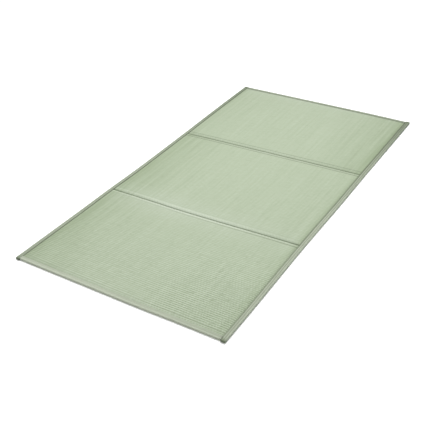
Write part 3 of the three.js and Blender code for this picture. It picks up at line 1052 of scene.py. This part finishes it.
def floor_material():
    """Plain pale studio floor, lifted a little towards white where the camera sees it."""
    material, tree, shader = new_material("studio_floor")
    place = add_node(tree, "ShaderNodeTexCoord").outputs["Object"]
    cloudy = add_node(tree, "ShaderNodeTexNoise", {"Vector": place, "Scale": 0.7, "Detail": 2})
    colour = blend_colours(tree, cloudy.outputs["Fac"], FLOOR_COLOURS["dark"], FLOOR_COLOURS["pale"])
    distance = add_node(tree, "ShaderNodeVectorMath", {0: place}, operation="LENGTH").outputs["Value"]
    faded = add_node(tree, "ShaderNodeMapRange", {"Value": distance, "To Min": FLOOR_LIFT, "To Max": 1.0})
    faded.inputs["From Min"].default_value = FLOOR_FADE_FROM
    faded.inputs["From Max"].default_value = FLOOR_FADE_TO
    seen = add_node(tree, "ShaderNodeLightPath").outputs["Is Camera Ray"]
    lift = product_of(tree, seen, faded.outputs[0])
    tree.links.new(colour, shader.inputs["Base Color"])
    tree.links.new(lift, shader.inputs["Emission Strength"])
    shader.inputs["Emission Color"].default_value = (1, 1, 1, 1)
    shader.inputs["Roughness"].default_value = 0.9
    shader.inputs["Specular IOR Level"].default_value = 0.1
    return material


def make_floor():
    signs = ((-1, -1), (1, -1), (1, 1), (-1, 1))
    corners = np.array([(x * FLOOR_HALF, y * FLOOR_HALF, -FLOOR_DROP) for x, y in signs])
    mesh = new_mesh("studio_floor", corners, [[0, 1, 2, 3]])
    mesh.materials.append(floor_material())
    floor = bpy.data.objects.new("studio_floor", mesh)
    bpy.context.collection.objects.link(floor)


def add_soft_light(name, size, power, place, aim):
    data = bpy.data.lights.new(name, "AREA")
    data.shape = "DISK"
    data.size = size
    data.energy = power
    light = bpy.data.objects.new(name, data)
    light.location = place
    light.rotation_mode = "QUATERNION"
    light.rotation_quaternion = (aim - light.location).to_track_quat("-Z", "Y")
    bpy.context.collection.objects.link(light)


def add_far_light(name, strength, direction, spread):
    """A soft light from far away: direction is where it shines from, spread how wide it looks."""
    data = bpy.data.lights.new(name, "SUN")
    data.energy = strength
    data.angle = math.radians(spread)
    light = bpy.data.objects.new(name, data)
    light.rotation_mode = "QUATERNION"
    light.rotation_quaternion = (-direction).to_track_quat("-Z", "Y")
    bpy.context.collection.objects.link(light)


def make_light():
    """White surround, a broad soft light overhead and a weaker one from beyond the far left corner."""
    world = bpy.data.worlds.new("studio_white")
    world.use_nodes = True
    tree = world.node_tree
    surround = tree.nodes["Background"]
    surround.inputs["Color"].default_value = (1, 1, 1, 1)
    seen = add_node(tree, "ShaderNodeLightPath").outputs["Is Camera Ray"]
    tree.links.new(spread_value(tree, seen, SURROUND_LIGHT, 1.0), surround.inputs["Strength"])
    bpy.context.scene.world = world
    add_soft_light("overhead", OVERHEAD_SIZE, OVERHEAD_POWER, OVERHEAD_PLACE, OVERHEAD_AIM)
    add_far_light("far_left", FAR_LIGHT_STRENGTH, FAR_LIGHT_DIRECTION, FAR_LIGHT_SPREAD)
    bpy.context.scene.view_settings.view_transform = "Standard"


def make_camera():
    """Camera at the view of the mat from above its near right corner."""
    azimuth, elevation = math.radians(CAMERA_AZIMUTH), math.radians(CAMERA_ELEVATION)
    level = math.cos(elevation)
    back = Vector((math.sin(azimuth) * level, -math.cos(azimuth) * level, math.sin(elevation)))
    turn = (-back).to_track_quat("-Z", "Y").to_matrix().to_4x4()
    roll = Matrix.Rotation(math.radians(CAMERA_ROLL), 4, "Z")
    data = bpy.data.cameras.new("photo_view")
    data.lens = CAMERA_LENS
    data.sensor_width = CAMERA_SENSOR
    data.shift_x = CAMERA_SHIFT_X
    data.shift_y = CAMERA_SHIFT_Y
    camera = bpy.data.objects.new("photo_view", data)
    camera.matrix_world = Matrix.Translation(CAMERA_TARGET + back * CAMERA_DISTANCE) @ turn @ roll
    bpy.context.collection.objects.link(camera)
    bpy.context.scene.camera = camera


def make_panels(material, thread):
    """Woven panels, each with the sewing beside its folds."""
    for panel in PANELS:
        name = panel["name"]
        piece = add_piece(name, panel_mesh(panel), material, [panel["node"]])
        insets = {panel["from"]: FOLD_STITCH_INSET, panel["to"]: -FOLD_STITCH_INSET}
        runs = [fold_stitch_run(line, inset) for line, inset in insets.items() if line in FOLD_DEPTHS]
        stitches = f"{name}_stitches"
        sewing = add_piece(stitches, stitch_row_mesh(stitches, runs), thread)


def add_tape(name, mesh, run, cloth, thread):
    """A tape with its row of stitches."""
    stitches = f"tape_{name}_stitches"
    sewing = add_piece(stitches, stitch_row_mesh(stitches, [run]), thread)
    piece = add_piece(f"tape_{name}", mesh, cloth, [f"binding_{name}"])


def make_tapes(cloth, thread):
    for side in ("left", "right"):
        end = MAT_LENGTH / 2 + TAPE_OVERRUN
        run = tape_stitch_run(long_side_place(side), -end, end, sewn_line_height)
        add_tape(side, long_tape_mesh(side), run, cloth, thread)
    for line, name, panel in (("near_end", "near", "rush_near"), ("far_end", "far", "rush_far")):
        start, end = short_tape_span(line)
        run = tape_stitch_run(short_end_place(line), start, end, sewn_line_height)
        add_tape(name, short_tape_mesh(line), run, cloth, thread)


make_camera()
streak_group = fibre_streaks_group()
rib_group = round_ribs_group()
thread = thread_material(streak_group, rib_group)
make_panels(rush_material(streak_group, rib_group), thread)
make_tapes(binding_material(streak_group, rib_group), thread)
make_floor()
make_light()
